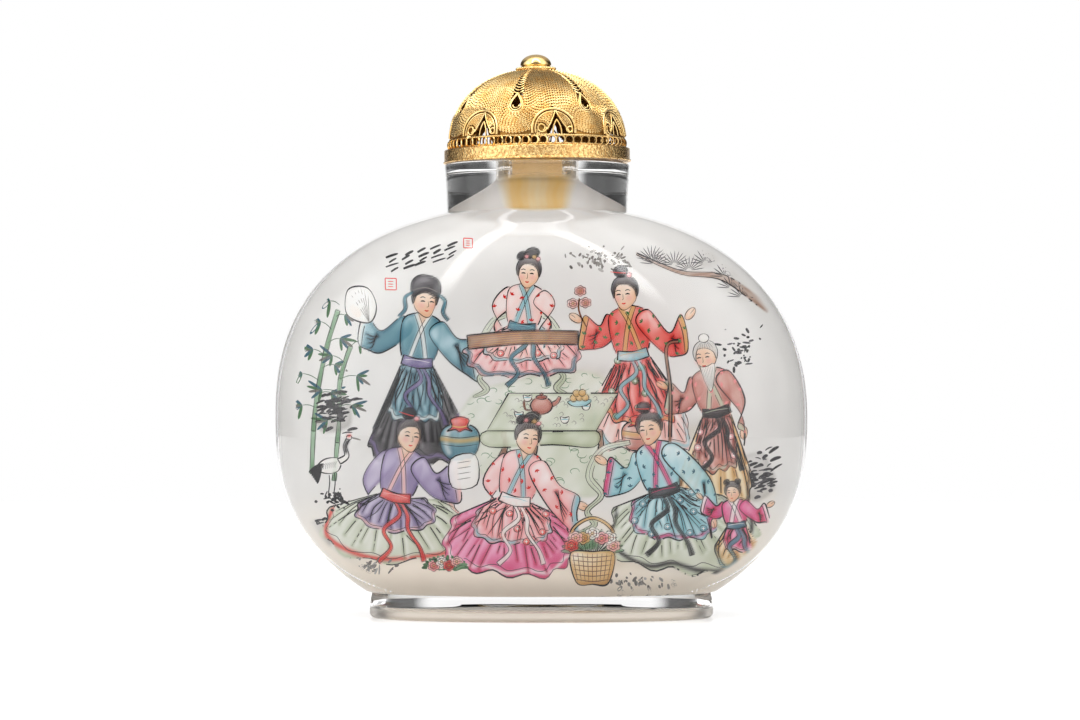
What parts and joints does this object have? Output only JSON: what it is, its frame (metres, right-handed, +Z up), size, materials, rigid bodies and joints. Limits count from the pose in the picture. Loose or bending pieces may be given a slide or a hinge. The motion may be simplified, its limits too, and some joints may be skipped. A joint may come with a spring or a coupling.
{
  "type": "snuff bottle",
  "caption": "Flattened oval clear glass snuff bottle painted inside, on an oval foot, with a round neck and a lift-off pierced gilt dome stopper with a cork.",
  "frame": {"origin": "middle of the foot's underside, on the surface the bottle stands on", "axes": "+Z up through the neck, +X along the width, -Y out of the painted front"},
  "size_m": [0.076, 0.036, 0.0804],
  "materials": {
    "clear_glass": "polished clear glass, frosted and painted on its inner wall",
    "gilt_metal": "gilt, bright on wires and knob, satin on the band",
    "cork": "dry natural cork"
  },
  "bodies": {
    "root": {"bottle": "clear_glass", "stopper_cork": "cork", "stopper_plate": "gilt_metal", "stopper_band": "gilt_metal", "stopper_gallery": "gilt_metal", "stopper_dome": "gilt_metal", "stopper_collar": "gilt_metal", "stopper_knob": "gilt_metal"}
  },
  "joints": []
}
